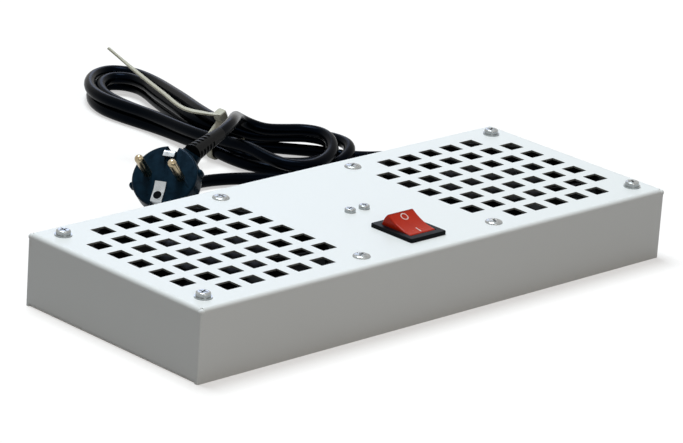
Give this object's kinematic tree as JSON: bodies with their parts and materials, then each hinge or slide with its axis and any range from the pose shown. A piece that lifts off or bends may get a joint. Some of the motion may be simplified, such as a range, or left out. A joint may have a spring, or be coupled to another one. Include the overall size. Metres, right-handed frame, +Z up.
{
  "type": "rack fan tray",
  "caption": "Perforated sheet steel fan tray for a cabinet roof with axial fans, a rocker switch and a tied mains lead with a moulded plug.",
  "frame": {"origin": "middle of the rim that the tray stands on", "axes": "+X along the tray, +Y from its front to the side the cord leaves, +Z up through the perforated plate"},
  "size_m": [0.3575, 0.3903, 0.0614],
  "materials": {
    "powder_coat": "satin light grey powder coat",
    "fan_casting": "black painted casting",
    "fan_plastic": "moulded black",
    "steel": "plain steel",
    "winding": "varnished copper wire",
    "zinc_plate": "bright zinc plate",
    "terminal_nylon": "natural nylon",
    "brass": "machined",
    "switch_black": "smooth moulded",
    "rocker_red": "translucent red",
    "lead_insulation": "soft PVC",
    "cord_sheath": "soft PVC",
    "tie_nylon": "natural nylon",
    "plug_plastic": "moulded PVC",
    "plated_contact": "nickel plated"
  },
  "bodies": {
    "tray": {"tray_shell": "powder_coat", "fan_frame_left": "fan_casting", "fan_frame_right": "fan_casting", "fan_bearings": "steel", "stator_cores": "steel", "stator_coils": "winding", "corner_screws": "zinc_plate", "corner_washers": "zinc_plate", "inner_screws": "zinc_plate", "fan_nuts": "zinc_plate", "block_screws": "zinc_plate", "block_nuts": "zinc_plate", "earth_ring": "zinc_plate", "clamp_screws": "zinc_plate", "terminal_block": "terminal_nylon", "terminal_sleeves": "brass", "switch_housing": "switch_black", "switch_tabs": "brass", "switch_leads": "lead_insulation", "fan_lead_left": "lead_insulation", "fan_lead_right": "lead_insulation", "earth_lead": "lead_insulation", "mains_inner": "cord_sheath", "mains_cores": "lead_insulation", "cord_bush": "plug_plastic", "mains_cord": "cord_sheath", "cord_tail": "cord_sheath", "cord_hank": "cord_sheath", "cable_tie": "tie_nylon", "plug_body": "plug_plastic", "cord_relief": "plug_plastic", "plug_pins": "plated_contact", "plug_earth_clips": "plated_contact"},
    "rocker": {"rocker": "rocker_red"},
    "impeller_left": {"impeller_left": "fan_plastic", "flux_ring_left": "steel", "fan_shaft_left": "steel"},
    "impeller_right": {"impeller_right": "fan_plastic", "flux_ring_right": "steel", "fan_shaft_right": "steel"}
  },
  "joints": [
    {"name": "rocker_tilt", "type": "hinge", "parent": "tray", "child": "rocker", "pos_m": [0.0003, -0.0374, 0.0386], "axis": [-1, 0, 0], "range_deg": [0, 40]},
    {"name": "impeller_spin_left", "type": "hinge", "parent": "tray", "child": "impeller_left", "pos_m": [-0.0995, 0, 0.024], "axis": [0, 0, 1], "continuous": true},
    {"name": "impeller_spin_right", "type": "hinge", "parent": "tray", "child": "impeller_right", "pos_m": [0.0995, 0, 0.024], "axis": [0, 0, 1], "continuous": true}
  ]
}
